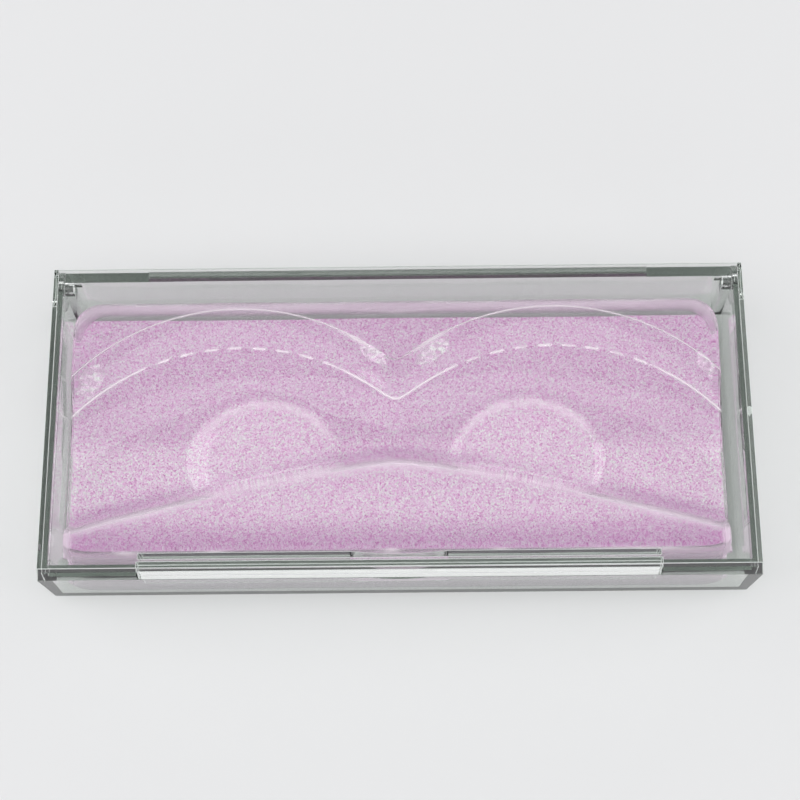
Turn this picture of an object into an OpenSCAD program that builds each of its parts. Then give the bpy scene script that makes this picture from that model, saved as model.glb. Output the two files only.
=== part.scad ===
// Clear hinged case for a pair of false eyelashes, shown closed.
// Origin: middle of the underside. X runs along the width, +Y to the hinge, +Z up.

/* [Case] */
// Width over the top edge of the lid, and over the underside
case_w = 110; // [100:0.5:120]
// Depth over the top edge of the lid, and over the underside
case_d = 49.5; // [46:0.5:56]
// Height of the closed case
case_h = 16.5; // [15:0.5:20]
// How far the walls lean out on each side between those edges and the seam
seam_flare = 0.65; // [0.3:0.05:0.8]
// Height of the lid from the seam to its top
lid_h = 4.5; // [4.3:0.1:5.5]
// Gap between lid and base at the seam
seam_gap = 0.1; // [0.05:0.05:0.3]

/* [Base] */
// Thickness of the floor
floor_t = 1.4; // [1:0.1:2]
// Thickness of a side wall at the floor
side_wall = 1.4; // [1.3:0.1:2.2]
// Thickness of the front and rear walls at the floor
end_wall = 1.2; // [0.9:0.1:1.8]
// Thickness of the upstand that stands behind each cheek of the lid
upstand_t = 0.75; // [0.65:0.05:0.95]
// Half of the width of the middle part of the front and rear walls
middle_half = 40; // [30:0.5:43]
// Height of the slots between the top plate and the front corners of the base
front_slot_h = 1.3; // [1:0.1:2]
// Height of the slots between the top plate and the rear corners of the base
rear_slot_h = 1.8; // [1.7:0.1:2.4]

/* [Lid] */
// Thickness of the top plate
plate_t = 1.5; // [1.2:0.1:2]
// Gap between a cheek and the upstand behind it
cheek_gap = 0.1; // [0.05:0.05:0.3]
// Thickness of the locating lip that hangs behind the front wall
lip_t = 0.85; // [0.8:0.05:1.4]
// Gap that lets the lip swing out past the front wall
lip_gap = 0.5; // [0.4:0.05:0.8]
// Depth of the lip below the top plate
lip_h = 8.3; // [6:0.1:9]
// Gap at each end of the lip and of the lid's front wall
end_gap = 0.2; // [0.1:0.05:0.5]

/* [Hinge] */
// Distance of the pins from the rear top edge of the lid
hinge_inset = 1.75; // [1.6:0.05:2]
// Distance of the pins below the underside of the top plate
hinge_drop = 2.95; // [2.8:0.05:3.2]
// Diameter of the moulded pins
pin_d = 1.6; // [1.2:0.1:2]
// Radial clearance of a pin in its bore
pin_clear = 0.05; // [0.02:0.01:0.1]
// Length of a pin
pin_l = 2.15; // [1.5:0.05:3]
// Material round the bore in the base
boss_wall = 0.45; // [0.4:0.05:0.8]
// Radius of the round ear at the rear end of each cheek
ear_r = 3.5; // [3:0.1:4]
// Gap round an ear in its pocket
pocket_gap = 0.15; // [0.1:0.05:0.4]
// Clearance of the wall tops as the top plate swings over them
swing_clear = 0.3; // [0.2:0.05:0.5]

/* [Finger notch] */
// Width of the nail notch at the seam
notch_w = 8.5; // [6:0.5:14]
// Depth of the nail notch below the seam
notch_h = 1.1; // [0.6:0.1:2]
// How far the nail notch is cut into the front wall
notch_in = 0.9; // [0.5:0.1:1.2]
// Width of the scallop in the rear face of the lip
scallop_w = 15; // [10:0.5:24]
// Depth of that scallop
scallop_in = 0.5; // [0.3:0.05:0.55]

/* [Glitter card] */
// Thickness of the card
card_t = 0.35; // [0.2:0.05:0.5]
// Gap between the front wall and the card
card_front_gap = 4.8; // [0.2:0.1:6]
// Gap between the card's rear edge and the hinge bosses
card_rear_gap = 0.2; // [0.1:0.05:0.8]
// Gap between a side wall and the card or tray that lies against it
side_gap = 0.2; // [0.1:0.05:0.6]
// Radius of the card's corners
card_r = 1; // [0.5:0.25:3]
// How far card and tray lie to the left of the middle of the case
drift = 0.5; // [0:0.05:0.6]

/* [Lash tray] */
// Thickness of the formed sheet
sheet_t = 0.4; // [0.25:0.05:0.5]
// Gap between the rear edge of the tray and the rear wall
tray_rear_gap = 0.95; // [0.5:0.05:2]
// Width of the flat flange in front of the tray's platform
flange = 1.9; // [1:0.1:3]
// Radius of the tray's corners, seen from above
tray_r = 4.5; // [4:0.1:7]
// Height of the rear plateau above the card
plateau_h = 6.2; // [5:0.1:7]
// Height of the foot of the lash ramp above the card
ramp_foot_h = 3; // [2:0.1:4]
// Height of the valley floor above the card
valley_h = 1.9; // [1.2:0.1:2.5]
// Height of the front platform above the card
platform_h = 5.2; // [4:0.1:6]
// Height of the two low mounds above the valley floor
mound_h = 1.7; // [0.5:0.1:2.5]
// Distance of the middle of each arch from the middle of the tray
arch_x = 25.5; // [20:0.5:30]
// Radius of the two arches
arch_r = 37; // [32:0.5:60]
// Depth of the ramp between the upper and the lower arch
ramp_d = 5.6; // [4:0.1:8]
// Gap between the top of the upper arch and the rear edge of the tray
arch_margin = 1.7; // [1.2:0.1:4]
// Depth of the front platform at its middle
platform_d = 18.6; // [14:0.1:20]
// Depth of the front platform at its ends
platform_end_d = 7.1; // [4:0.1:9]

/* [Adhesive] */
// Thickness of the adhesive spots
spot_t = 0.15; // [0.1:0.05:0.3]
// Gap below the adhesive spots
spot_gap = 0.02; // [0.01:0.01:0.05]

/* [Hidden] */
eps = 0.01;

// Levels and faces shared by base and lid
plate_z = case_h - plate_t;
hinge_y = case_d / 2 - hinge_inset;
hinge_z = plate_z - hinge_drop;
seam_z = case_h - lid_h;
inner_hw = case_w / 2 - side_wall;
inner_hd = case_d / 2 - end_wall;
upstand_x = inner_hw + upstand_t;
cheek_x = upstand_x + cheek_gap;
upstand_z = plate_z - swing_clear;
crown_r = hinge_drop - swing_clear;
pocket_r = ear_r + pocket_gap;
bore_r = pin_d / 2 + pin_clear;
boss_r = bore_r + boss_wall;
boss_x = cheek_x - pin_l - 2 * cheek_gap;
lip_y = -inner_hd + lip_gap;
lip_z = plate_z - lip_h;

// Tray and card, which share one width
card_top = floor_t + card_t;
tray_hw = inner_hw - side_gap - drift;
tray_rear = inner_hd - tray_rear_gap;
tray_front = lip_y + lip_gap / 2;
arch_top = tray_rear - arch_margin;
card_front = -inner_hd + card_front_gap;
card_rear = hinge_y - boss_r - card_rear_gap;

// Lean of the tray's skirts and size of its upper edges
skirt_lean = 0.5;
edge_r = 0.5;
// Radii that soften the valley between the arches and the peak of the platform
arch_soft = 1.22;
bow_soft = 2.36;
// Powers that shape the platform's bow, the ramp and the mounds
bow_power = 1.25;
ramp_power = 1.25;
mound_power = 1.5;
// Middle and reach of a mound, as shares of arch_x across and in mm along the depth
mound_at = 0.83;
mound_reach = 0.5;
mound_back = 24.5;
mound_depth = 10.5;
// Share of the valley that its rear slope takes, and depth of the rise to the platform
slope_share = 0.625;
rise_d = 3.2;

// A solid whose front profile is pts_x and whose side profile is pts_y, both as [across, up]
module two_profiles(pts_x, pts_y) {
    reach = case_w + case_d;
    intersection() {
        rotate([90, 0, 0]) linear_extrude(height = reach, center = true) polygon(pts_x);
        rotate([90, 0, 90]) linear_extrude(height = reach, center = true) polygon(pts_y);
    }
}

// Half of a profile that leans out from the bottom to the seam and back in to the top, mirrored
function flared(half) = [
    [-half, 0], [half, 0], [half + seam_flare, seam_z],
    [half, case_h], [-half, case_h], [-half - seam_flare, seam_z]
];

// Outer form of the closed case
module envelope() {
    two_profiles(flared(case_w / 2), flared(case_d / 2));
}

// Box from one corner to the opposite one
module span(a, b) {
    translate(a) cube(b - a);
}

// Round bar along X about the hinge axis, between two places
module about_hinge(r, x0, x1) {
    translate([x0, hinge_y, hinge_z]) rotate([0, 90, 0]) cylinder(h = x1 - x0, r = r, $fn = 96);
}

module both_sides() {
    children();
    mirror([1, 0, 0]) children();
}

// Everything of the base that fills the closed outline up to its own wall tops
module base_walls() {
    out = case_w;
    intersection() {
        envelope();
        union() {
            span([-out, -out, 0], [out, out, seam_z]);
            both_sides() {
                span([middle_half + end_gap, -out, seam_z - 1],
                     [upstand_x, -inner_hd + eps, plate_z - front_slot_h]);
                span([inner_hw, -out, seam_z - 1], [upstand_x, hinge_y, upstand_z]);
            }
            span([-upstand_x, inner_hd - eps, seam_z - 1], [upstand_x, out, plate_z - rear_slot_h]);
            intersection() {
                union() {
                    both_sides() span([inner_hw, hinge_y - eps, seam_z], [upstand_x, out, case_h]);
                    span([-middle_half, inner_hd, seam_z], [middle_half, out, case_h]);
                }
                about_hinge(crown_r, -case_w / 2, case_w / 2);
            }
        }
    }
}

// Pillar in each rear corner that carries the bore of a hinge pin
module hinge_boss() {
    span([boss_x, hinge_y - boss_r, floor_t - eps], [inner_hw + eps, inner_hd + eps, hinge_z]);
    intersection() {
        about_hinge(boss_r, boss_x, inner_hw + eps);
        span([boss_x, hinge_y - boss_r, hinge_z - eps], [case_w, inner_hd + eps, case_h]);
    }
}

module nail_notch() {
    r = (pow(notch_w / 2, 2) + pow(notch_h, 2)) / (2 * notch_h);
    translate([0, -case_d / 2 - seam_flare + notch_in, seam_z - notch_h + r])
        rotate([90, 0, 0]) cylinder(h = case_d, r = r, $fn = 128);
}

module base() color([0.86, 0.9, 0.88, 0.4]) {
    difference() {
        union() {
            difference() {
                base_walls();
                span([-inner_hw, -inner_hd, floor_t], [inner_hw, inner_hd, case_h]);
            }
            both_sides() hinge_boss();
        }
        both_sides() {
            about_hinge(pocket_r, upstand_x, case_w);
            about_hinge(bore_r, boss_x - 1, case_w);
        }
        nail_notch();
    }
}

// Cheek at one side of the lid, with its round ear and its hinge pin
module cheek() {
    intersection() {
        envelope();
        union() {
            span([cheek_x, -case_d, seam_z + seam_gap], [case_w, hinge_y, plate_z + eps]);
            span([cheek_x, hinge_y - eps, hinge_z], [case_w, case_d, plate_z + eps]);
            about_hinge(ear_r, cheek_x, case_w);
        }
    }
    about_hinge(pin_d / 2, cheek_x - pin_l, cheek_x + eps);
}

// Front wall of the lid above the seam
module lid_front() {
    intersection() {
        envelope();
        span([-middle_half, -case_d, seam_z + seam_gap], [middle_half, -inner_hd, plate_z + eps]);
    }
}

// Lip that hangs into the base behind its front wall, thinned by a scallop in the middle
module lid_lip() {
    r = (pow(scallop_w / 2, 2) + pow(scallop_in, 2)) / (2 * scallop_in);
    difference() {
        span([-middle_half + end_gap, lip_y, lip_z],
             [middle_half - end_gap, lip_y + lip_t, plate_z + eps]);
        translate([0, lip_y + lip_t - scallop_in + r, lip_z - 1])
            cylinder(h = plate_z - lip_z + 1, r = r, $fn = 180);
    }
}

module lid() color([0.9, 0.93, 0.92, 0.35]) {
    intersection() {
        envelope();
        span([-case_w, -case_d, plate_z], [case_w, case_d, case_h + 1]);
    }
    both_sides() cheek();
    lid_front();
    lid_lip();
}

module glitter_card() color([0.93, 0.72, 0.88]) {
    w = 2 * tray_hw;
    d = card_rear - card_front;
    translate([-tray_hw - drift, card_front, floor_t]) linear_extrude(height = card_t) union() {
        translate([card_r, 0]) square([w - 2 * card_r, d]);
        translate([0, card_r]) square([w, d - 2 * card_r]);
        for (x = [card_r, w - card_r], y = [card_r, d - card_r])
            translate([x, y]) circle(r = card_r, $fn = 32);
    }
}

// Lash tray. Each column across the tray is a list of [y, z, y of underside, z of underside],
// from the foot of the rear skirt forwards to the foot of the flange.

function mix(a, b, t) = a + (b - a) * t;
function smooth(t) = let (c = min(max(t, 0), 1)) c * c * (3 - 2 * c);

// Inward turn of the outline at a rounded corner, for a column at x
function corner_in(x) = let (s = abs(x) - (tray_hw - tray_r))
    s <= 0 ? 0 : tray_r - sqrt(max(tray_r * tray_r - s * s, 0));

// Upper arch line: two arcs that meet in a soft valley at the middle
function arch_line(x) = let (
    s = sqrt(x * x + arch_soft * arch_soft),
    fall = arch_r - sqrt(arch_r * arch_r - pow(s - arch_x, 2))
) arch_top - fall;

// Rear edge of the front platform, a shallow bow with its peak at the middle
function platform_line(x) = let (t = sqrt(x * x + bow_soft * bow_soft) / tray_hw)
    tray_front + flange + mix(platform_d, platform_end_d, pow(t, bow_power));

// Low mounds that carry the lashes' curve
function mound(x, y) = let (
    u = (abs(x) - mound_at * arch_x) / (mound_reach * arch_x),
    v = (y - (arch_top - mound_back)) / mound_depth,
    d = 1 - u * u - v * v
) d <= 0 ? 0 : mound_h * (1 - pow(1 - d, mound_power));

ramp_steps = [0, 0.1, 0.25, 0.45, 0.7, 0.9, 1];
valley_steps = [for (k = [1:7]) k / 8];
rise_steps = [0, 0.12, 0.3, 0.5, 0.7, 0.88, 1];

function column(x) = let (
    z0 = card_top,
    rear = tray_rear - corner_in(x),
    front = tray_front + corner_in(x),
    a = min(arch_line(x), rear - 2.5 * edge_r),
    b = arch_line(x) - ramp_d,
    p = platform_line(x),
    pf = tray_front + flange + corner_in(x) / 3,
    top = z0 + plateau_h,
    foot = z0 + ramp_foot_h,
    low = z0 + valley_h,
    high = z0 + platform_h,
    t = sheet_t
) concat(
    [
        [rear, z0, rear - t, z0],
        [rear - skirt_lean, top - edge_r, rear - skirt_lean - t, top - edge_r - t / 2],
        [rear - skirt_lean - edge_r, top, rear - skirt_lean - edge_r - t / 2, top - t]
    ],
    [for (s = ramp_steps) let (y = mix(a, b, s), z = mix(top, foot, 1 - pow(1 - s, ramp_power)))
        [y, z, y, z - t]],
    [for (s = valley_steps) let (
        y = mix(b, p, s),
        z = mix(foot, low, smooth(s / slope_share)) + mound(x, y)
    ) [y, z, y, z - t]],
    [for (s = rise_steps) let (
        y = p - rise_d * s,
        m = mound(x, p) * (1 - s),
        z = mix(low + m, high, smooth(s))
    ) [y, z, y, z - t]],
    [
        [pf + skirt_lean + edge_r, high, pf + skirt_lean + edge_r + t / 2, high - t],
        [pf + skirt_lean, high - edge_r, pf + skirt_lean + t, high - edge_r - t / 2],
        [pf, z0 + t, pf + t, z0],
        [front, z0 + t, front + t / 2, z0]
    ]
);

// Places of the columns, finer towards the rounded ends
inner_cols = 18;
end_steps = [0, 0.3, 0.55, 0.75, 0.88, 0.95];
half_cols = concat(
    [for (k = [0:inner_cols - 1]) k / inner_cols * (tray_hw - tray_r)],
    [for (s = end_steps) mix(tray_hw - tray_r, tray_hw - skirt_lean, s)],
    [tray_hw - skirt_lean]
);
cols = concat([for (k = [len(half_cols) - 1:-1:1]) -half_cols[k]], half_cols);

// One grid of points for the upper skin and one for the lower. The end columns fall to the card.
function skin(under) = let (
    dx = under ? sheet_t : 0,
    sections = [for (x = cols) column(x)],
    first = sections[0],
    wall = tray_hw - dx,
    squeeze = 1 - dx / (tray_hw - skirt_lean)
) concat(
    [[for (q = first) [-wall, under ? q[2] : q[0], card_top]]],
    [for (k = [0:len(cols) - 1])
        [for (q = sections[k]) [cols[k] * squeeze, under ? q[2] : q[0], under ? q[3] : q[1]]]],
    [[for (q = first) [wall, under ? q[2] : q[0], card_top]]]
);

// Closed sheet between two grids of points
module sheet(upper, lower) {
    rows = len(upper);
    n = len(upper[0]);
    half = rows * n;
    points = concat([for (r = upper) each r], [for (r = lower) each r]);
    skins = [for (i = [0:rows - 2], j = [0:n - 2]) let (a = i * n + j, b = a + n) each [
        [a, b + 1, a + 1], [a, b, b + 1],
        [half + a, half + a + 1, half + b + 1], [half + a, half + b + 1, half + b]
    ]];
    long_edges = [for (i = [0:rows - 2]) let (a = i * n, b = a + n, c = a + n - 1, d = c + n) each [
        [a, half + b, b], [a, half + a, half + b],
        [c, d, half + d], [c, half + d, half + c]
    ]];
    short_edges = [for (j = [0:n - 2]) let (a = j, c = (rows - 1) * n + j) each [
        [a, a + 1, half + a + 1], [a, half + a + 1, half + a],
        [c, half + c + 1, c + 1], [c, half + c, half + c + 1]
    ]];
    polyhedron(points = points, faces = concat(skins, long_edges, short_edges), convexity = 8);
}

module lash_tray() color([0.95, 0.93, 0.96, 0.3]) {
    translate([-drift, 0, 0]) sheet(skin(false), skin(true));
}

// Adhesive spots lie on the ramp, near the ends of each arch: [first column, last column]
ramp_rows = [4:7];
mid_row = len(half_cols);
spot_cols = [[-20, -18], [-2, -1], [1, 3], [18, 20]];

module adhesive_spots() color([0.97, 0.95, 0.97, 0.7]) {
    grid = skin(false);
    for (s = spot_cols) {
        part = [for (i = [mid_row + s[0]:mid_row + s[1]])
            [for (j = ramp_rows) grid[i][j]]];
        translate([-drift, 0, spot_gap])
            sheet([for (r = part) [for (q = r) q + [0, 0, spot_t]]], part);
    }
}

base();
lid();
lash_tray();
glitter_card();
adhesive_spots();
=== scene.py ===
import math

import bmesh
import bpy
from mathutils import Matrix, Vector, noise
from mathutils.bvhtree import BVHTree


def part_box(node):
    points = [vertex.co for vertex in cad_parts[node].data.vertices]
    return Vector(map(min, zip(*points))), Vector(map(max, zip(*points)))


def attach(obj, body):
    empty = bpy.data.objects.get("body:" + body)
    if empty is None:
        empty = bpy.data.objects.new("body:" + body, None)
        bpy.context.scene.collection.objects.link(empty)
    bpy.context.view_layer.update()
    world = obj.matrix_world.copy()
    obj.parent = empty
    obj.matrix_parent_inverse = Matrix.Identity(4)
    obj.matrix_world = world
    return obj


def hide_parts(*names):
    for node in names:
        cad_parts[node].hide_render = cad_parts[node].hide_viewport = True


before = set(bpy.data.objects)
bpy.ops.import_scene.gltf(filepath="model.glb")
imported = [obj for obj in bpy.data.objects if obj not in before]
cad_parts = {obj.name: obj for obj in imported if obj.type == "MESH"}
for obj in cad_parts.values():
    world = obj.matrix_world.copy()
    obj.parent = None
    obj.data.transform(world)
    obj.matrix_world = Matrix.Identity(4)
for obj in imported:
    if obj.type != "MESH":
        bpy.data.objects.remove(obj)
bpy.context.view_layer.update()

scene = bpy.context.scene
mm = 0.001


# small helpers


def linkedObject(name, mesh):
    thing = bpy.data.objects.new(name, mesh)
    scene.collection.objects.link(thing)
    return thing


def plainMesh(thing, name):  # the evaluated object as a plain mesh, its modifiers gone
    bpy.context.view_layer.update()
    graph = bpy.context.evaluated_depsgraph_get()
    mesh = bpy.data.meshes.new_from_object(thing.evaluated_get(graph), depsgraph=graph)
    mesh.name = name
    bpy.data.objects.remove(thing)
    return linkedObject(name, mesh)


def smoothAll(mesh, degrees):
    for face in mesh.polygons:
        face.use_smooth = True
    mesh.set_sharp_from_angle(angle=math.radians(degrees))


# helpers for materials

def newMaterial(name):
    material = bpy.data.materials.new(name)
    material.use_nodes = True
    tree = material.node_tree
    tree.nodes.clear()
    return material, tree


def addNode(tree, kind, sockets=None, **settings):  # sockets by name or number
    node = tree.nodes.new(kind)
    for key, value in settings.items():
        setattr(node, key, value)
    for key, value in (sockets or {}).items():
        node.inputs[key].default_value = value
    return node


def objectPlace(tree):
    return addNode(tree, "ShaderNodeTexCoord").outputs["Object"]


def attribute(tree, name):
    return addNode(tree, "ShaderNodeAttribute", attribute_name=name).outputs["Fac"]


def noiseAt(tree, place, sockets):
    node = addNode(tree, "ShaderNodeTexNoise", sockets)
    tree.links.new(place, node.inputs["Vector"])
    return node.outputs[0]


def stretched(tree, place, turn, scale):
    node = addNode(tree, "ShaderNodeMapping", {"Rotation": (0, 0, turn), "Scale": scale})
    tree.links.new(place, node.inputs["Vector"])
    return node.outputs[0]


def remapped(tree, value, least, most, low=0.0, high=1.0):
    node = addNode(tree, "ShaderNodeMapRange", {"From Min": least, "From Max": most,
                                                "To Min": low, "To Max": high})
    tree.links.new(value, node.inputs["Value"])
    return node.outputs[0]


def timesValue(tree, value, factor):
    node = addNode(tree, "ShaderNodeMath", {1: factor}, operation="MULTIPLY")
    tree.links.new(value, node.inputs[0])
    return node.outputs[0]


def bumped(tree, height, strength, distance):
    node = addNode(tree, "ShaderNodeBump", {"Strength": strength, "Distance": distance})
    tree.links.new(height, node.inputs["Height"])
    return node.outputs[0]


def mixed(tree, share, first, second):
    node = addNode(tree, "ShaderNodeMixShader")
    for k, socket in enumerate((share, first, second)):
        tree.links.new(socket, node.inputs[k])
    return node.outputs[0]


def litThrough(tree, surface, colour):  # lamps shine through, dimmed by the colour
    path = addNode(tree, "ShaderNodeLightPath")
    clear = addNode(tree, "ShaderNodeBsdfTransparent", {0: colour})
    return mixed(tree, path.outputs["Is Shadow Ray"], surface, clear.outputs[0])


def finished(tree, surface):
    out = addNode(tree, "ShaderNodeOutputMaterial")
    tree.links.new(surface, out.inputs["Surface"])
    return out


# camera, floor and lamps

view = {
    "elevation": 70.033,   # degrees above the table
    "turn": -1.734,        # the case's turn on the table
    "roll": -2.222,
    "offset": (-0.369, -7.421),  # mm to the right and up
    "distance": 313.98,    # mm from the origin
    "lens": 86.325,
    "sensor": 36.0,
    "clip": (0.01, 20),    # metres
}


def makeCamera(v):
    tilt, turn, roll = (math.radians(v[k]) for k in ("elevation", "turn", "roll"))
    right = Vector((1, 0, 0))
    up = Vector((0, math.sin(tilt), math.cos(tilt)))
    ahead = Vector((0, math.cos(tilt), -math.sin(tilt)))
    place = -(right * v["offset"][0] + up * v["offset"][1] + ahead * v["distance"]) * mm
    rolledRight = right * math.cos(roll) + up * math.sin(roll)
    rolledUp = -right * math.sin(roll) + up * math.cos(roll)
    axes = Matrix((rolledRight, rolledUp, -ahead)).transposed().to_4x4()
    data = bpy.data.cameras.new("camera")
    data.lens = v["lens"]
    data.sensor_width = v["sensor"]
    data.clip_start, data.clip_end = v["clip"]
    camera = linkedObject("camera", data)
    camera.matrix_world = Matrix.Rotation(-turn, 4, "Z") @ Matrix.Translation(place) @ axes
    scene.camera = camera


stage = {
    "floorSize": 3.0,      # metres
    "floorDrop": 0.00002,  # metres, keeps the floor clear of the underside
    "floorColour": (0.80, 0.80, 0.805, 1),
    "floorRoughness": 0.7,
    "floorShine": 0.2,
    "worldColour": (0.97, 0.98, 1.0, 1),
    "worldStrength": 0.30,
}


def makeFloor(v):
    half = v["floorSize"] / 2
    corners = [(-half, -half), (half, -half), (half, half), (-half, half)]
    mesh = bpy.data.meshes.new("floor")
    mesh.from_pydata([(x, y, -v["floorDrop"]) for x, y in corners], [], [(0, 1, 2, 3)])
    floor = linkedObject("floor", mesh)
    material, tree = newMaterial("paleFloor")
    shader = addNode(tree, "ShaderNodeBsdfPrincipled", {"Base Color": v["floorColour"],
                                                        "Roughness": v["floorRoughness"],
                                                        "Specular IOR Level": v["floorShine"]})
    finished(tree, shader.outputs[0])
    mesh.materials.append(material)


def makeWorld(v):
    world = bpy.data.worlds.new("studio")
    world.use_nodes = True
    scene.world = world
    tree = world.node_tree
    tree.nodes.clear()
    glow = addNode(tree, "ShaderNodeBackground", {0: v["worldColour"], 1: v["worldStrength"]})
    out = addNode(tree, "ShaderNodeOutputWorld")
    tree.links.new(glow.outputs[0], out.inputs[0])


lamps = {  # metres and watts; each lamp is turned to the origin
    "overheadSoftbox": {"place": (0.0, -0.20, 0.66), "size": (1.4, 0.66), "power": 2.35},
    "leftSoftbox": {"place": (-0.66, 0.06, 0.38), "size": (1.0, 0.8), "power": 3.4},
    "rightSoftbox": {"place": (0.66, 0.0, 0.38), "size": (0.8, 0.6), "power": 2.4},
    "rearSoftbox": {"place": (0.0, 0.78, 0.24), "size": (1.1, 0.3), "power": 1.8},
    "frontSoftbox": {"place": (0.0, -0.75, 0.25), "size": (0.9, 0.3), "power": 0.7},
}


def makeLamps(table):
    for name, v in table.items():
        data = bpy.data.lights.new(name, "AREA")
        data.shape = "RECTANGLE"
        data.size, data.size_y = v["size"]
        data.energy = v["power"]
        lamp = linkedObject(name, data)
        place = Vector(v["place"])
        turn = place.to_track_quat("Z", "Y")
        lamp.matrix_world = Matrix.Translation(place) @ turn.to_matrix().to_4x4()


makeCamera(view)
makeFloor(stage)
makeWorld(stage)
makeLamps(lamps)
print("camera, floor and lamps are set")


# the two shells of the case, in clear plastic

case = {
    "weldReach": 1e-6,     # metres
    "flatAngle": 1,        # degrees, faces nearer to flat than this become one
    "edgeAngle": 25,       # degrees, sharper edges are rounded
    "edgeWidth": 0.17,     # rounding of the moulded edges, mm
    "edgeSteps": 2,
    "smoothAngle": 20,
    "flatAbove": 25.0,     # mm2, larger faces are flat and smaller ones belong to a rounding
    "material": {
        "tint": (1.0, 1.0, 1.0, 1),
        "ior": 1.57,
        "roughness": 0.015,
        "edgeRoughness": 0.30,
        "edgeHighlightShare": 0.65,     # share of painted white highlight on the rounded edges
        "edgeHighlightColour": (0.93, 0.96, 0.945, 1),
        "edgeHighlightRoughness": 0.35,
        "waveScale": 60.0,     # slow waves of the moulding
        "waveStrength": 0.25,
        "waveHeight": 0.0004,
        "scratchTurn": 28,     # degrees
        "scratchScale": (1500, 40, 300),
        "scratchLevel": (0.66, 0.74),
        "scratchShare": 0.35,
        "shadow": (0.972, 0.977, 0.974, 1),
        "depthColour": (0.46, 0.52, 0.475, 1),
        "density": 165.0,
    },
    "lidMaterial": {           # only what differs from the base
        "scratchTurn": -35,
        "shadow": (0.984, 0.988, 0.986, 1),
        "density": 80.0,
    },
}


def clearPlastic(name, v):
    material, tree = newMaterial(name)
    link = tree.links.new
    place = objectPlace(tree)
    shader = addNode(tree, "ShaderNodeBsdfPrincipled", {"Base Color": v["tint"], "IOR": v["ior"],
                                                        "Transmission Weight": 1.0})
    waves = noiseAt(tree, place, {"Scale": v["waveScale"], "Detail": 2.0})
    along = stretched(tree, place, math.radians(v["scratchTurn"]), v["scratchScale"])
    scratch = noiseAt(tree, along, {"Scale": 1.0, "Detail": 3.0, "Roughness": 0.6})
    fine = timesValue(tree, remapped(tree, scratch, *v["scratchLevel"]), v["scratchShare"])
    edge = attribute(tree, "edge")
    marks = addNode(tree, "ShaderNodeMath", operation="MAXIMUM")
    link(edge, marks.inputs[0])
    link(fine, marks.inputs[1])
    rough = remapped(tree, marks.outputs[0], 0.0, 1.0, v["roughness"], v["edgeRoughness"])
    link(rough, shader.inputs["Roughness"])
    link(bumped(tree, waves, v["waveStrength"], v["waveHeight"]), shader.inputs["Normal"])
    # the rounded edges get a painted white highlight
    edgeHighlight = addNode(tree, "ShaderNodeBsdfPrincipled", {"Base Color": v["edgeHighlightColour"],
                                                       "Roughness": v["edgeHighlightRoughness"],
                                                       "IOR": v["ior"]})
    share = timesValue(tree, edge, v["edgeHighlightShare"])
    withEdgeHighlight = mixed(tree, share, shader.outputs[0], edgeHighlight.outputs[0])
    out = finished(tree, litThrough(tree, withEdgeHighlight, v["shadow"]))
    fog = addNode(tree, "ShaderNodeVolumeAbsorption", {"Color": v["depthColour"],
                                                       "Density": v["density"]})
    link(fog.outputs[0], out.inputs["Volume"])
    return material


def mouldedCopy(node, v, material):
    bm = bmesh.new()
    bm.from_mesh(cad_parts[node].data)
    bmesh.ops.remove_doubles(bm, verts=bm.verts, dist=v["weldReach"])
    bmesh.ops.dissolve_limit(bm, angle_limit=math.radians(v["flatAngle"]),
                             verts=bm.verts, edges=bm.edges)
    edges = [e for e in bm.edges if len(e.link_faces) == 2
             and e.calc_face_angle(0) > math.radians(v["edgeAngle"])]
    mark = bm.faces.layers.float.new("edge")
    made = bmesh.ops.bevel(bm, geom=edges, offset=v["edgeWidth"] * mm, segments=v["edgeSteps"],
                           profile=0.5, affect="EDGES", clamp_overlap=True)
    for face in made["faces"]:
        face[mark] = 1.0
    bmesh.ops.recalc_face_normals(bm, faces=bm.faces)
    mesh = bpy.data.meshes.new(node + "Moulded")
    bm.to_mesh(mesh)
    bm.free()
    smoothAll(mesh, v["smoothAngle"])
    for face in mesh.polygons:
        if face.area > v["flatAbove"] * mm * mm:
            face.use_smooth = False
    mesh.materials.append(material)
    return linkedObject(node + "Moulded", mesh)


baseMaterial = clearPlastic("clearBase", case["material"])
lidMaterial = clearPlastic("clearLid", {**case["material"], **case["lidMaterial"]})
baseShell = mouldedCopy("base", case, baseMaterial)
lidShell = mouldedCopy("lid", case, lidMaterial)
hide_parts("base")
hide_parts("lid")
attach(baseShell, "base")
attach(lidShell, "lid")
print("case is moulded")


# helpers for shapes grown by node trees; a Field writes its sums as Math nodes

class Field:
    def __init__(self, tree, socket):
        self.tree, self.socket = tree, socket

    def calc(self, operation, *others):
        node = self.tree.nodes.new("ShaderNodeMath")
        node.operation = operation
        for k, other in enumerate((self,) + others):
            if isinstance(other, Field):
                self.tree.links.new(other.socket, node.inputs[k])
            else:
                node.inputs[k].default_value = other
        return Field(self.tree, node.outputs[0])

    def __add__(self, other): return self.calc("ADD", other)
    def __sub__(self, other): return self.calc("SUBTRACT", other)
    def __mul__(self, other): return self.calc("MULTIPLY", other)
    def __truediv__(self, other): return self.calc("DIVIDE", other)
    def __pow__(self, other): return self.calc("POWER", other)
    def __neg__(self): return self.calc("MULTIPLY", -1.0)
    def __rsub__(self, other): return (-self).calc("ADD", other)
    def __rmul__(self, other): return self.calc("MULTIPLY", other)
    def __radd__(self, other): return self.calc("ADD", other)

    def root(self): return self.calc("SQRT")
    def size(self): return self.calc("ABSOLUTE")
    def atLeast(self, other): return self.calc("MAXIMUM", other)
    def atMost(self, other): return self.calc("MINIMUM", other)
    def exp(self): return self.calc("EXPONENT")
    def sine(self): return self.calc("SINE")
    def clip(self): return self.atLeast(0.0).atMost(1.0)
    def ease(self):
        t = self.clip()
        return t * t * (3.0 - 2.0 * t)


def climb(field, start, end):  # from 0 at the start to 1 at the end
    return ((field - start) / (end - start)).clip()


def band(field, width):  # 1 where the field is nought, fading over the width
    share = field / width
    return (-(share * share)).exp()


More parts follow.
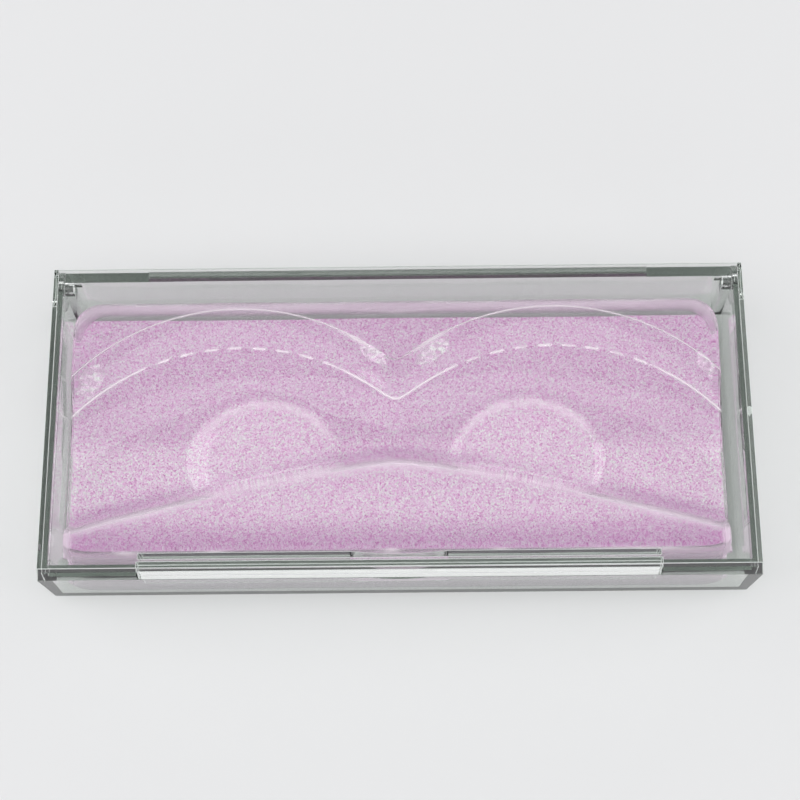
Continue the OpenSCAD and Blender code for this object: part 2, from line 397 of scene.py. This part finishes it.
def newTree(name, sizes):
    tree = bpy.data.node_groups.new(name, "GeometryNodeTree")
    tree.interface.new_socket("Geometry", in_out="INPUT", socket_type="NodeSocketGeometry")
    tree.interface.new_socket("Geometry", in_out="OUTPUT", socket_type="NodeSocketGeometry")
    for key, value in sizes.items():
        kind = "NodeSocketInt" if isinstance(value, int) else "NodeSocketFloat"
        tree.interface.new_socket(key, in_out="INPUT", socket_type=kind)
    source = addNode(tree, "NodeGroupInput")
    return tree, source, {key: Field(tree, source.outputs[key]) for key in sizes}


def asVector(tree, *parts):
    node = addNode(tree, "ShaderNodeCombineXYZ")
    for k, part in enumerate(parts):
        if isinstance(part, Field):
            tree.links.new(part.socket, node.inputs[k])
        else:
            node.inputs[k].default_value = part
    return node.outputs[0]


def stored(tree, geometry, name, value, domain):
    node = addNode(tree, "GeometryNodeStoreNamedAttribute", {"Name": name},
                   data_type="FLOAT", domain=domain)
    tree.links.new(geometry, node.inputs["Geometry"])
    tree.links.new(value, node.inputs["Value"])
    return node.outputs[0]


def moved(tree, geometry, socket, vector):  # the socket is Position or Offset
    node = addNode(tree, "GeometryNodeSetPosition")
    tree.links.new(geometry, node.inputs["Geometry"])
    tree.links.new(vector, node.inputs[socket])
    return node.outputs[0]


def painted(tree, geometry, material):  # every tree ends here
    paint = addNode(tree, "GeometryNodeSetMaterial", {"Material": material})
    tree.links.new(geometry, paint.inputs["Geometry"])
    out = addNode(tree, "NodeGroupOutput")
    tree.links.new(paint.outputs[0], out.inputs[0])
    return tree


def grown(name, tree, sizes, material, start=None):  # keeps the tree's result as a plain mesh
    thing = linkedObject(name + "Seed", start or bpy.data.meshes.new(name + "Seed"))
    modifier = thing.modifiers.new("nodes", "NODES")
    modifier.node_group = tree
    for item in tree.interface.items_tree:
        if item.in_out == "INPUT" and item.name in sizes:
            modifier[item.identifier] = sizes[item.name]
    piece = plainMesh(thing, name)
    piece.data.materials.clear()
    piece.data.materials.append(material)
    for face in piece.data.polygons:
        face.material_index = 0
    return piece


# lash tray, a formed sheet; sizes in mm, shares and strengths from 0 to 1

tray = {
    "columns": 281,
    "rows": 141,
    "sheet": 0.4,
    "halfWidth": 52.4,
    "rear": 22.1,
    "front": -22.8,
    "lean": 0.5,
    "cornerRadius": 4.5,
    "drift": 0.5,          # to the left of the case's middle
    "cardTop": 1.75,
    # heights above the card
    "plateau": 6.2,
    "rampFoot": 3.0,
    "valley": 1.9,
    "platform": 5.2,
    "moundHeight": 1.7,
    "flangeTop": 0.4,
    # curves of the slopes
    "rampPower": 1.25,
    "valleySlope": 0.625,  # share of the valley over which its floor still falls
    "moundPower": 1.5,
    "platformRise": 3.2,
    # lines seen from above
    "moundX": 21.15,
    "moundHalfWidth": 12.75,
    "moundY": -3.6,
    "moundHalfDepth": 10.5,
    "archX": 25.5,
    "archRadius": 37.0,
    "archTop": 20.9,
    "archMargin": 0.9,     # least way from an arch to the rear edge
    "archSoft": 1.5,       # mm2, rounds the V between the arches
    "rampDepth": 5.6,
    "flange": 1.9,
    "platformDepth": 18.6,
    "platformEnd": 7.1,
    "bowPower": 1.25,
    "bowSoft": 0.002,      # rounds the platform's peak
    # how near to each line the rows gather
    "upperRound": 0.45,
    "lowerRound": 0.5,
    "bowBehind": 0.4,
    "bowAhead": 3.4,
    "wallTop": 1.1,
    "wallMiddle": 0.5,
    "wallMiddleAt": 0.45,  # share of the wall's fall
    # painted highlights along the creases; widths are half widths
    "lowerWidth": 0.17,
    "lowerStrength": 0.9,
    "brokenFrom": 19.0,    # nearer to an arch's middle than this the lower crease's painted highlight is dashed
    "brokenTo": 15.0,
    "dashPitch": 3.9,
    "dashFrom": -0.35,
    "dashTo": 0.15,
    "dashSwing": 0.25,     # how much the dashes vary in strength
    "dashRate": 0.83,
    "upperWidth": 0.14,
    "upperStrength": 0.42,
    "gapWidth": 3.0,       # the upper crease's painted highlight is faint at the middle
    "gapShare": 0.6,
    "broadHighlightX": 5.8,       # and a broader painted highlight beside it
    "broadHighlightReach": 2.6,
    "broadHighlightDrop": 0.15,
    "broadHighlightWidth": 0.32,
    "broadHighlightStrength": 0.75,
    "wallUp": 1.0,
    "wallWidth": 0.16,
    "wallStrength": 0.7,
    "endFrom": 0.25,       # shares of the skirt over which the painted crease highlights end
    "endTo": 0.40,
    # painted sheen on the rims, where the film is also rougher
    "wanePitch": 45.0,     # the platform's rim comes and goes along the width
    "waneMean": 0.62,
    "waneSwing": 0.38,
    "platformRimIn": 2.7,
    "platformRimWidth": 1.0,
    "platformRimStrength": 0.5,
    "moundRimAt": 0.24,    # share of the mound's height
    "moundRimWidth": 0.10,
    "moundRimFrom": 2.0,
    "moundRimTo": 5.5,
    "moundRimStrength": 0.42,
    "rearRimIn": 0.6,
    "rearRimWidth": 1.2,
    "rearRimStrength": 0.4,
    "noseFrom": -1.6,
    "noseTo": -0.2,
    "frontRimUp": 0.5,
    "frontRimWidth": 0.5,
    "frontRimStrength": 0.6,
    # shaded parts
    "footBack": 0.2,
    "footWidth": 1.5,
    "backAt": 0.02,        # share of the mound's height
    "backWidth": 0.05,
    "backFrom": 1.0,
    "backTo": 4.0,
    "backStrength": 0.6,
    "frontShadeFrom": -13.0,
    "frontShadeTo": -18.5,
}
columnShares = (0.90, 0.965)  # where the rounded end and the skirt begin
rowShares = (0.06, 0.10, 0.20, 0.30, 0.40, 0.58, 0.72, 0.84, 0.92)  # of the lines, rear to front
wallHighlightRuns = [(-42.5, 1.8), (-28.6, 1.9), (-0.8, 1.5), (16.2, 1.5), (38.0, 9.0)]  # x, half width of the painted highlights along the front wall


def trayTree(sizes, material):
    tree, source, v = newTree("formedTray", sizes)
    link = tree.links.new
    grid = addNode(tree, "GeometryNodeMeshGrid", {"Size X": 2.0, "Size Y": 1.0})
    link(source.outputs["columns"], grid.inputs["Vertices X"])
    link(source.outputs["rows"], grid.inputs["Vertices Y"])
    spot = addNode(tree, "GeometryNodeInputPosition")
    split = addNode(tree, "ShaderNodeSeparateXYZ")
    link(spot.outputs[0], split.inputs[0])
    gx = Field(tree, split.outputs[0])       # -1 to 1 across
    s = 0.5 - Field(tree, split.outputs[1])  # 0 at the rear to 1 at the front
    side, sign = gx.size(), gx.calc("SIGN")

    # across: an even part, a finer rounded end, then the skirt
    radius = v["cornerRadius"]
    inner = v["halfWidth"] - radius
    endFrom, skirtFrom = columnShares
    skirt = climb(side, skirtFrom, 1.0)
    xTop = climb(side, 0.0, endFrom) * inner + climb(side, endFrom, skirtFrom) * radius
    xAbs = xTop + (1.0 - (1.0 - skirt) ** 3.0) * v["lean"]

    # lines seen from above: rounded corners, the two arches and the bow of the platform
    turned = (xTop - inner).atLeast(0.0)
    cornerIn = radius - (radius * radius - turned * turned).atLeast(0.0).root()
    soft = (xTop * xTop + v["archSoft"]).root() - v["archX"]
    arch = v["archTop"] - v["archRadius"] \
        + (v["archRadius"] * v["archRadius"] - soft * soft).root()
    across = xTop / v["halfWidth"]
    bowShare = (across * across + v["bowSoft"]).root() ** v["bowPower"]
    bow = v["front"] + v["flange"] + v["platformDepth"] \
        + (v["platformEnd"] - v["platformDepth"]) * bowShare
    rear = v["rear"] - cornerIn
    upper = arch.atMost(rear - v["archMargin"])
    lower = arch - v["rampDepth"]
    wallFoot = v["front"] + v["flange"] + cornerIn / 3.0
    lip = v["front"] + cornerIn

    # along: the rear skirt, the lines with their share of the rows, the front wall, the flange
    drop = climb(s, 0.0, rowShares[0])
    y = rear + (1.0 - drop) ** 3.0 * v["lean"]
    lines = (rear, upper + v["upperRound"], upper - v["upperRound"],
             lower + v["lowerRound"], lower - v["lowerRound"],
             bow + v["bowBehind"], bow - v["bowAhead"], wallFoot + v["wallTop"])
    for k in range(1, len(lines)):
        y = y + (lines[k] - lines[k - 1]) * climb(s, rowShares[k - 1], rowShares[k])
    fall = climb(s, rowShares[-2], rowShares[-1])
    y = y + (v["wallMiddle"] - v["wallTop"]) * climb(fall, 0.0, v["wallMiddleAt"])
    y = y - v["wallMiddle"] * climb(fall, v["wallMiddleAt"], 1.0)
    y = y + (lip - wallFoot) * climb(s, rowShares[-1], 1.0)

    # heights: plateau, ramp, valley with mounds, platform, then the skirts
    ramp = 1.0 - (1.0 - climb(y, upper, lower)) ** v["rampPower"]
    z = v["plateau"] + (v["rampFoot"] - v["plateau"]) * ramp
    z = z + (v["valley"] - v["rampFoot"]) * (climb(y, lower, bow) / v["valleySlope"]).ease()
    mx = (xTop - v["moundX"]) / v["moundHalfWidth"]
    my = (y - v["moundY"]) / v["moundHalfDepth"]
    dome = (1.0 - mx * mx - my * my).clip()
    rise = ((bow - y) / v["platformRise"]).ease()
    z = z + v["moundHeight"] * (1.0 - (1.0 - dome) ** v["moundPower"]) * (1.0 - rise)
    z = z + (v["platform"] - v["valley"]) * rise
    z = z * drop
    z = z + (v["flangeTop"] - z) * fall
    z = v["cardTop"] + z * (1.0 - skirt)

    # painted highlights along the creases: dashed below, thin above, and short runs along the
    # front wall
    signed = sign * xTop
    broken = climb((xTop - v["archX"]).size(), v["brokenFrom"], v["brokenTo"])
    wave = (signed / v["dashPitch"] * math.tau).sine()
    uneven = 1.0 - v["dashSwing"] + (signed * v["dashRate"]).sine() * v["dashSwing"]
    dash = climb(wave, v["dashFrom"], v["dashTo"]) * uneven
    lowerHighlight = band(y - lower, v["lowerWidth"]) * v["lowerStrength"] \
        * (1.0 - broken * (1.0 - dash))
    upperHighlight = band(y - upper, v["upperWidth"]) * v["upperStrength"] \
        * (1.0 - band(xTop, v["gapWidth"]) * v["gapShare"])
    broadHighlight = band(y - upper + v["broadHighlightDrop"], v["broadHighlightWidth"]) * v["broadHighlightStrength"] \
        * band(xTop - v["broadHighlightX"], v["broadHighlightReach"])
    runs = sum(band(signed - x, width) for x, width in wallHighlightRuns)
    wallHighlight = band(y - wallFoot - v["wallUp"], v["wallWidth"]) * v["wallStrength"] \
        * runs.atMost(1.0)
    paintedHighlight = lowerHighlight.atLeast(upperHighlight).atLeast(broadHighlight).atLeast(wallHighlight) \
        * (1.0 - climb(skirt, v["endFrom"], v["endTo"]))

    # painted sheen on the rims, where the film is also rougher
    wane = v["waneMean"] \
        + (xTop / v["wanePitch"] * math.tau + math.pi / 2).sine() * v["waneSwing"]
    fromMound = y - v["moundY"]
    platformRim = band(bow - v["platformRimIn"] - y, v["platformRimWidth"]) \
        * v["platformRimStrength"] * wane
    moundRim = band(dome - v["moundRimAt"], v["moundRimWidth"]) * v["moundRimStrength"] \
        * climb(fromMound, v["moundRimFrom"], v["moundRimTo"]) * (1.0 - rise)
    rearRim = band(y - rear + v["rearRimIn"], v["rearRimWidth"]) * v["rearRimStrength"]
    noseRim = climb(xTop - v["halfWidth"], v["noseFrom"], v["noseTo"]) * rise
    frontRim = band(y - wallFoot - v["frontRimUp"], v["frontRimWidth"]) * v["frontRimStrength"]
    hazeAndPaintedSheen = platformRim.atLeast(moundRim).atLeast(rearRim).atLeast(noseRim).atLeast(frontRim)

    # shaded parts: behind the platform, behind the mounds and the front rows
    footShade = band(y - bow + v["footBack"], v["footWidth"]) * wane
    backShade = band(dome - v["backAt"], v["backWidth"]) * v["backStrength"] \
        * climb(fromMound, v["backFrom"], v["backTo"])
    frontShade = climb(y, v["frontShadeFrom"], v["frontShadeTo"]).ease()
    shade = footShade.atLeast(backShade).atLeast(frontShade)

    # the attributes carry the painted crease highlights, the painted sheen with rougher film, and
    # the painted shade
    kept = grid.outputs[0]
    for name, field in (("paintedHighlight", paintedHighlight), ("hazeAndPaintedSheen", hazeAndPaintedSheen), ("shade", shade)):
        kept = stored(tree, kept, name, field.socket, "POINT")  # before the points move
    place = asVector(tree, (sign * xAbs - v["drift"]) * mm, y * mm, z * mm)
    return painted(tree, moved(tree, kept, "Position", place), material)


film = {
    "ior": 1.55,
    "roughness": 0.05,
    "hazeRoughness": 0.45,
    "sheenShare": 0.66,
    # milky is the colour of the painted sheen on the rims
    "milky": (0.88, 0.74, 0.86, 1),
    "milkyRoughness": 0.5,
    # this colour paints white highlights along the creases
    "highlightColour": (1.0, 0.90, 0.975, 1),
    "highlightRoughness": 0.3,
    "shadeColour": (0.80, 0.70, 0.80, 1),
    "rippleScale": 220.0,
    "rippleStrength": 0.1,
    "rippleHeight": 0.0003,
    "shadow": (0.993, 0.990, 0.993, 1),
}


def sheetMaterial(v):
    material, tree = newMaterial("formedSheet")
    link = tree.links.new
    paintedHighlight, hazeAndPaintedSheen, shade = (attribute(tree, name) for name in ("paintedHighlight", "hazeAndPaintedSheen", "shade"))
    clear = addNode(tree, "ShaderNodeBsdfPrincipled", {"IOR": v["ior"],
                                                       "Transmission Weight": 1.0})
    tint = addNode(tree, "ShaderNodeMix", {6: (1, 1, 1, 1), 7: v["shadeColour"]},
                   data_type="RGBA")
    link(shade, tint.inputs[0])
    link(tint.outputs[2], clear.inputs["Base Color"])
    rough = remapped(tree, hazeAndPaintedSheen, 0.0, 1.0, v["roughness"], v["hazeRoughness"])
    link(rough, clear.inputs["Roughness"])
    ripple = noiseAt(tree, objectPlace(tree), {"Scale": v["rippleScale"], "Detail": 2.0})
    link(bumped(tree, ripple, v["rippleStrength"], v["rippleHeight"]), clear.inputs["Normal"])
    # milky paints a pale sheen on the rims; the haze mask also makes the film rougher there
    milky = addNode(tree, "ShaderNodeBsdfPrincipled", {"Base Color": v["milky"],
                                                       "Roughness": v["milkyRoughness"],
                                                       "IOR": v["ior"]})
    # white is the painted highlight along the creases
    white = addNode(tree, "ShaderNodeBsdfPrincipled", {"Base Color": v["highlightColour"],
                                                       "Roughness": v["highlightRoughness"],
                                                       "IOR": v["ior"]})
    share = timesValue(tree, hazeAndPaintedSheen, v["sheenShare"])
    withSheen = mixed(tree, share, clear.outputs[0], milky.outputs[0])
    withHighlight = mixed(tree, paintedHighlight, withSheen, white.outputs[0])
    finished(tree, litThrough(tree, withHighlight, v["shadow"]))
    return material


filmMaterial = sheetMaterial(film)
traySurface = grown("formedTray", trayTree(tray, filmMaterial), tray, filmMaterial)
smoothAll(traySurface.data, degrees=60)
trayHeights = BVHTree.FromPolygons([w.co.copy() for w in traySurface.data.vertices],
                                   [tuple(f.vertices) for f in traySurface.data.polygons])
walls = traySurface.modifiers.new("thickness", "SOLIDIFY")
walls.thickness = tray["sheet"] * mm
walls.offset = -1.0
walls.use_even_offset = False
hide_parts("lash_tray")
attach(traySurface, "base")
print("tray is formed:", len(traySurface.data.polygons), "faces")


# glitter card, a printed card strewn with flakes

glitter = {
    "flakesPerMm2": 7.0,
    "flakeRadius": 0.15,     # mm
    "flakeTilt": 0.42,       # radians
    "flakeLift": 0.03,       # mm above the card
    "smallest": 0.6,         # shares of the radius
    "largest": 1.25,
    "seed": 7,
}
pinks = {
    "deep": (0.68, 0.24, 0.58, 1),
    "rose": (0.88, 0.51, 0.81, 1),
    "lilac": (0.94, 0.70, 0.91, 1),
    "pale": (0.98, 0.87, 0.97, 1),
    "white": (1.0, 0.98, 1.0, 1),
}


def flakeTree(sizes, material):
    tree, source, v = newTree("glitterFlakes", sizes)
    link = tree.links.new
    strew = addNode(tree, "GeometryNodeDistributePointsOnFaces")
    link(source.outputs["Geometry"], strew.inputs["Mesh"])
    link((v["flakesPerMm2"] * 1e6).socket, strew.inputs["Density"])  # per square metre
    link(source.outputs["seed"], strew.inputs["Seed"])
    flake = addNode(tree, "GeometryNodeMeshCircle", {"Vertices": 6}, fill_type="NGON")
    link((v["flakeRadius"] * mm).socket, flake.inputs["Radius"])
    lean = addNode(tree, "FunctionNodeRandomValue", data_type="FLOAT_VECTOR")
    link(asVector(tree, -v["flakeTilt"], -v["flakeTilt"]), lean.inputs["Min"])
    link(asVector(tree, v["flakeTilt"], v["flakeTilt"], math.tau), lean.inputs["Max"])
    spread = addNode(tree, "FunctionNodeRandomValue")
    link(source.outputs["smallest"], spread.inputs[2])
    link(source.outputs["largest"], spread.inputs[3])
    place = addNode(tree, "GeometryNodeInstanceOnPoints")
    link(strew.outputs["Points"], place.inputs["Points"])
    link(flake.outputs[0], place.inputs["Instance"])
    link(lean.outputs[0], place.inputs["Rotation"])
    link(spread.outputs[1], place.inputs["Scale"])
    chance = addNode(tree, "FunctionNodeRandomValue")
    shaded = stored(tree, place.outputs[0], "shade", chance.outputs[1], "INSTANCE")
    real = addNode(tree, "GeometryNodeRealizeInstances")
    link(shaded, real.inputs[0])
    lift = asVector(tree, 0.0, 0.0, v["flakeLift"] * mm)
    return painted(tree, moved(tree, real.outputs[0], "Offset", lift), material)


def pinkRamp(tree, value, stops):
    node = addNode(tree, "ShaderNodeValToRGB")
    ramp = node.color_ramp
    for k, (at, colour) in enumerate(stops):
        element = ramp.elements[k] if k < 2 else ramp.elements.new(at)  # a new ramp has two
        element.position, element.color = at, pinks[colour]
    tree.links.new(value, node.inputs[0])
    return node.outputs[0]


flakeLook = {
    "roughness": 0.32,
    "metallic": 0.3,
    "ior": 1.5,
    "stops": [(0.0, "deep"), (0.2, "rose"), (0.42, "lilac"), (0.64, "pale"), (0.8, "white")],
}
cardLook = {
    "margin": 0.2,           # mm without flakes along the card's edges
    "roughness": 0.5,
    "ior": 1.5,
    "grainScale": 5200.0,
    "grainStrength": 0.6,
    "grainHeight": 0.00005,
    "stops": [(0.0, "deep"), (0.25, "rose"), (0.55, "lilac"), (0.95, "pale")],
}


def flakeMaterial(v):
    material, tree = newMaterial("glitterFlakes")
    shader = addNode(tree, "ShaderNodeBsdfPrincipled", {"Roughness": v["roughness"],
                                                        "Metallic": v["metallic"],
                                                        "IOR": v["ior"]})
    colour = pinkRamp(tree, attribute(tree, "shade"), v["stops"])
    tree.links.new(colour, shader.inputs["Base Color"])
    finished(tree, shader.outputs[0])
    return material


def cardMaterial(v):
    material, tree = newMaterial("glitterCard")
    link = tree.links.new
    shader = addNode(tree, "ShaderNodeBsdfPrincipled", {"Roughness": v["roughness"],
                                                        "IOR": v["ior"]})
    cells = addNode(tree, "ShaderNodeTexVoronoi", {"Scale": v["grainScale"]})
    link(objectPlace(tree), cells.inputs["Vector"])
    split = addNode(tree, "ShaderNodeSeparateColor")
    link(cells.outputs["Color"], split.inputs[0])
    link(pinkRamp(tree, split.outputs[0], v["stops"]), shader.inputs["Base Color"])
    grain = bumped(tree, split.outputs[1], v["grainStrength"], v["grainHeight"])
    link(grain, shader.inputs["Normal"])
    finished(tree, shader.outputs[0])
    return material


def cardTop(low, high, margin):  # the face that carries the flakes
    left, right, front, back = low.x + margin, high.x - margin, low.y + margin, high.y - margin
    corners = [(left, front), (right, front), (right, back), (left, back)]
    mesh = bpy.data.meshes.new("cardTop")
    mesh.from_pydata([(x, y, high.z) for x, y in corners], [], [(0, 1, 2, 3)])
    return mesh


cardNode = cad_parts["glitter_card"]
cardNode.data.materials.clear()
cardNode.data.materials.append(cardMaterial(cardLook))
flakePaint = flakeMaterial(flakeLook)
cardLow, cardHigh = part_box("glitter_card")
seedMesh = cardTop(cardLow, cardHigh, cardLook["margin"] * mm)
flakes = grown("glitterFlakes", flakeTree(glitter, flakePaint), glitter, flakePaint, seedMesh)
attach(flakes, "base")
print("card has its glitter:", len(flakes.data.polygons), "flakes")


# adhesive, gel spots pressed on the ramp

gel = {
    "spots": [  # middle x, y, half width, half depth, turn in degrees, all in mm
        (-49.8, 9.3, 1.6, 2.9, -35), (-3.9, 12.8, 0.9, 2.5, 57),
        (5.6, 13.5, 1.1, 3.2, -57), (49.6, 10.6, 0.9, 2.0, 35),
    ],
    "thickness": 0.13,
    "gap": 0.02,           # mm above the sheet
    "rim": 0.01,           # mm, thickness at the edge
    "crownPower": 4,
    "ragged": 0.28,
    "raggedRate": 1.7,
    "raggedStep": 9.0,     # gives each spot an outline of its own
    "bumpShare": 0.55,
    "bumpRate": 1.6,
    "rings": 9,
    "spokes": 40,
    "castFrom": 30.0,      # mm, above the closed case
    "material": {
        "ior": 1.45,
        "wetRoughness": 0.18,
        "milkyRoughness": 0.22,
        "cloud": {"Scale": 900.0, "Detail": 4.0, "Roughness": 0.65},
        "cloudLevel": (0.45, 0.60),
        "milkyShare": (0.05, 0.9),
        "strandTurn": 0.9,     # radians
        "strandScale": (500, 2400, 500),
        "stops": [(0.42, "lilac"), (0.60, "white")],
        "bumpStrength": 0.7,
        "bumpHeight": 0.0001,
        "shadow": (0.9, 0.9, 0.9, 1),
    },
}


def gelPoint(v, k, spot, share, angle, top):  # share of the way from the middle to the outline
    x0, y0, a, b, degrees = spot
    turn = math.radians(degrees)
    wild = noise.noise(Vector((math.cos(angle) * v["raggedRate"],
                               math.sin(angle) * v["raggedRate"], v["raggedStep"] * k)))
    reach = share * (1 + v["ragged"] * wild)
    dx, dy = a * reach * math.cos(angle), b * reach * math.sin(angle)
    x = x0 + dx * math.cos(turn) - dy * math.sin(turn)
    y = y0 + dx * math.sin(turn) + dy * math.cos(turn)
    start = Vector((x * mm, y * mm, v["castFrom"] * mm))
    hit = trayHeights.ray_cast(start, Vector((0, 0, -1)))[0]
    z = hit.z / mm + v["gap"]
    if top:
        bumps = 0.5 + noise.noise(Vector((x * v["bumpRate"], y * v["bumpRate"], k)))
        crown = (1 - share ** v["crownPower"]) * (1 - v["bumpShare"] + v["bumpShare"] * bumps)
        z += v["thickness"] * crown + v["rim"]
    return x * mm, y * mm, z * mm


def gelSpot(bm, v, k, spot):
    spokes, count = v["spokes"], v["rings"]
    layers = []
    for top in (True, False):
        rings = []
        for i in range(count + 1):
            rings.append([bm.verts.new(gelPoint(v, k, spot, i / count, math.tau * j / spokes, top))
                          for j in range(spokes if i else 1)])
        layers.append(rings)
        for i in range(count):
            for j in range(spokes):
                m = (j + 1) % spokes
                if i == 0:
                    corners = [rings[0][0], rings[1][j], rings[1][m]]
                else:
                    corners = [rings[i][j], rings[i + 1][j], rings[i + 1][m], rings[i][m]]
                bm.faces.new(corners if top else corners[::-1])
    upper, lower = layers[0][-1], layers[1][-1]
    for j in range(spokes):
        m = (j + 1) % spokes
        bm.faces.new([lower[j], lower[m], upper[m], upper[j]])


def gelMaterial(v):
    material, tree = newMaterial("clearGel")
    link = tree.links.new
    place = objectPlace(tree)
    wet = addNode(tree, "ShaderNodeBsdfPrincipled", {"Base Color": (1, 1, 1, 1),
                                                     "Roughness": v["wetRoughness"],
                                                     "IOR": v["ior"],
                                                     "Transmission Weight": 1.0})
    milky = addNode(tree, "ShaderNodeBsdfPrincipled", {"Roughness": v["milkyRoughness"],
                                                       "IOR": v["ior"]})
    cloud = noiseAt(tree, place, v["cloud"])
    share = remapped(tree, cloud, *v["cloudLevel"], *v["milkyShare"])
    along = stretched(tree, place, v["strandTurn"], v["strandScale"])
    strands = noiseAt(tree, along, {"Scale": 1.0, "Detail": 2.0})
    link(pinkRamp(tree, strands, v["stops"]), milky.inputs["Base Color"])
    bump = bumped(tree, cloud, v["bumpStrength"], v["bumpHeight"])
    link(bump, wet.inputs["Normal"])
    link(bump, milky.inputs["Normal"])
    surface = mixed(tree, share, wet.outputs[0], milky.outputs[0])
    finished(tree, litThrough(tree, surface, v["shadow"]))
    return material


gelMesh = bpy.data.meshes.new("gelSpots")
bm = bmesh.new()
for k, spot in enumerate(gel["spots"]):
    gelSpot(bm, gel, k, spot)
bm.to_mesh(gelMesh)
bm.free()
smoothAll(gelMesh, degrees=50)
gelMesh.materials.append(gelMaterial(gel["material"]))
gelSpots = linkedObject("gelSpots", gelMesh)
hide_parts("adhesive_spots")
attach(gelSpots, "base")
print("gel spots are on")


# the small white scar that the mould's gate left on the right wall

scar = {
    "place": (54.98, 0.7, 11.3),   # mm
    "reach": (0.66, 1.0, 0.6),
    "ragged": 0.45,
    "raggedRate": 1.9,
    "colour": (0.93, 0.96, 0.945, 1),
    "roughness": 0.45,
    "ior": 1.57,
}


def gateScar(v):
    bm = bmesh.new()
    bmesh.ops.create_icosphere(bm, subdivisions=3, radius=1.0)
    place, reach = Vector(v["place"]), Vector(v["reach"])
    for vert in bm.verts:
        dent = 1 - v["ragged"] * (0.5 + noise.noise(vert.co * v["raggedRate"]))
        vert.co = (place + vert.co * reach * dent) * mm
    mesh = bpy.data.meshes.new("gateScar")
    bm.to_mesh(mesh)
    bm.free()
    material, tree = newMaterial("frostedScar")
    shader = addNode(tree, "ShaderNodeBsdfPrincipled", {"Base Color": v["colour"],
                                                        "Roughness": v["roughness"],
                                                        "IOR": v["ior"]})
    finished(tree, shader.outputs[0])
    mesh.materials.append(material)
    return linkedObject("gateScar", mesh)


scarLump = gateScar(scar)
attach(scarLump, "base")
print("gate scar is on")


scene.view_settings.view_transform = "Standard"
